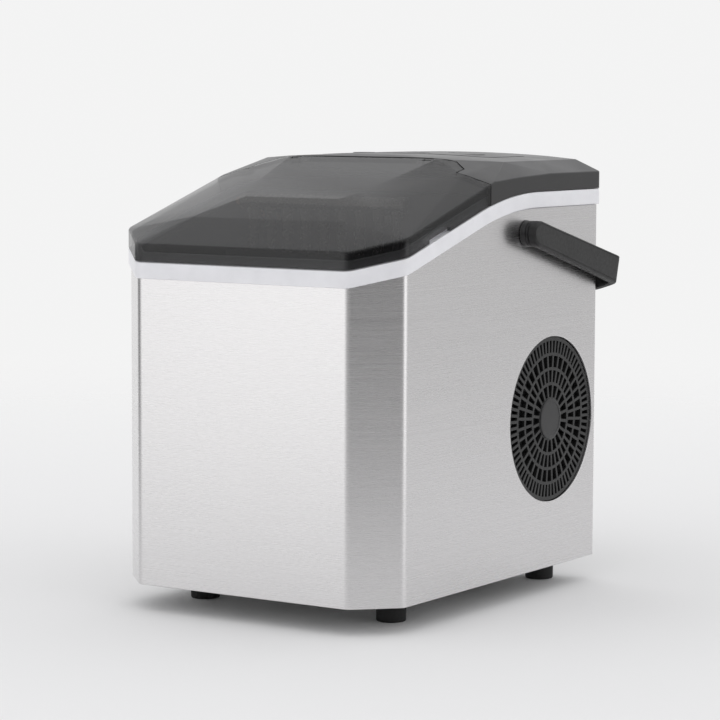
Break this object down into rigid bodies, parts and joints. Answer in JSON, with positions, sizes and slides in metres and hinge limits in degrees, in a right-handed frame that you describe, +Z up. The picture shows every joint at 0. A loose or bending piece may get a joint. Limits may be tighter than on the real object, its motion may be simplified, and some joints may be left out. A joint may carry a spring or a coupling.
{
  "type": "ice maker",
  "caption": "Countertop ice maker: brushed steel case, sloping smoky lid over an ice basket, rear black cover with keys, bail carry handle and a round side vent.",
  "frame": {"origin": "middle of the overall footprint, on the surface the feet stand on", "axes": "+Z up, -Y out of the front below the lid, +X towards the side with the round vent"},
  "size_m": [0.25, 0.3042, 0.3096],
  "materials": {
    "brushed_steel": "brushed vertically, satin",
    "plain_steel": "zinc-plated, dull",
    "white_trim": "satin moulded",
    "black_satin": "satin moulded",
    "black_grain": "fine grained",
    "smoke": "clear smoke-tinted plastic, polished",
    "rubber": "matt",
    "tub_plastic": "satin moulded",
    "foam": "beaded foam, matt",
    "clear_plastic": "translucent moulded",
    "nickel": "plated, bright",
    "copper": "drawn tube, slightly dulled",
    "aluminium": "mill finish",
    "compressor_black": "semi-gloss paint",
    "grey_plastic": "satin moulded",
    "board_green": "solder-resist coating",
    "silicone": "translucent silicone"
  },
  "bodies": {
    "case": {"shell": "brushed_steel", "base_pan": "plain_steel", "foot_front_left": "rubber", "foot_rear_left": "rubber", "foot_front_right": "rubber", "foot_rear_right": "rubber", "rear_panel": "black_satin", "panel_screw_1": "plain_steel", "panel_screw_2": "plain_steel", "panel_screw_3": "plain_steel", "panel_screw_4": "plain_steel", "cord_gland": "black_satin", "trim_band": "white_trim", "vent_grille": "black_satin", "top_cover": "black_satin", "hinge_pin_left": "plain_steel", "hinge_pin_right": "plain_steel", "control_panel": "black_satin", "ice_full_lens": "clear_plastic", "add_water_lens": "clear_plastic", "display_board": "board_green", "handle_boss_left": "black_satin", "handle_boss_right": "black_satin", "handle_screw_left": "plain_steel", "handle_screw_right": "plain_steel", "ice_tub": "tub_plastic", "insulation_foam": "foam", "evaporator": "nickel", "tray_gearmotor": "grey_plastic", "ice_chute": "grey_plastic", "ice_full_sensor": "compressor_black", "water_level_sensor": "grey_plastic", "compressor": "compressor_black", "compressor_bracket": "plain_steel", "compressor_grommet_1": "rubber", "compressor_grommet_2": "rubber", "compressor_grommet_3": "rubber", "condenser": "aluminium", "fan_shroud": "black_satin", "fan_motor": "plain_steel", "motor_bracket": "plain_steel", "filter_drier": "copper", "capillary_tube": "copper", "suction_line": "copper", "discharge_line": "copper", "hot_gas_valve": "nickel", "hot_gas_line": "copper", "water_pump": "compressor_black", "pump_hose": "silicone", "control_board": "board_green"},
    "lid": {"lid": "smoke"},
    "handle": {"handle": "black_grain"},
    "fan": {"fan_blade": "grey_plastic"},
    "tray": {"water_tray": "clear_plastic", "tray_drive_shaft": "plain_steel"},
    "basket": {"ice_basket": "clear_plastic"},
    "power_key": {"power_button": "grey_plastic"},
    "size_key": {"size_button": "grey_plastic"},
    "clean_key": {"clean_button": "grey_plastic"},
    "plug": {"drain_plug": "rubber"}
  },
  "joints": [
    {"name": "lid_hinge", "type": "hinge", "parent": "case", "child": "lid", "pos_m": [0, -0.00369, 0.30342], "axis": [-1, 0, 0], "range_deg": [0, 110]},
    {"name": "handle_swing", "type": "hinge", "parent": "case", "child": "handle", "pos_m": [0, 0.03071, 0.2557], "axis": [1, 0, 0], "range_deg": [0, 105]},
    {"name": "fan_spin", "type": "hinge", "parent": "case", "child": "fan", "pos_m": [0.084, 0.07051, 0.1233], "axis": [1, 0, 0], "continuous": true},
    {"name": "tray_tilt", "type": "hinge", "parent": "case", "child": "tray", "pos_m": [0, -0.01829, 0.246], "axis": [1, 0, 0], "range_deg": [0, 70]},
    {"name": "basket_lift", "type": "slide", "parent": "case", "child": "basket", "axis": [0, 0, 1], "range_m": [0, 0.08]},
    {"name": "power_press", "type": "slide", "parent": "case", "child": "power_key", "axis": [0, 0, -1], "range_m": [0, 0.001], "stiffness_N_per_m": 600, "springref_m": -0.0004},
    {"name": "size_press", "type": "slide", "parent": "case", "child": "size_key", "axis": [0, 0, -1], "range_m": [0, 0.001], "stiffness_N_per_m": 600, "springref_m": -0.0004},
    {"name": "clean_press", "type": "slide", "parent": "case", "child": "clean_key", "axis": [0, 0, -1], "range_m": [0, 0.001], "stiffness_N_per_m": 600, "springref_m": -0.0004},
    {"name": "drain_plug_pull", "type": "slide", "parent": "case", "child": "plug", "axis": [-1, 0, 0], "range_m": [0, 0.02]}
  ]
}
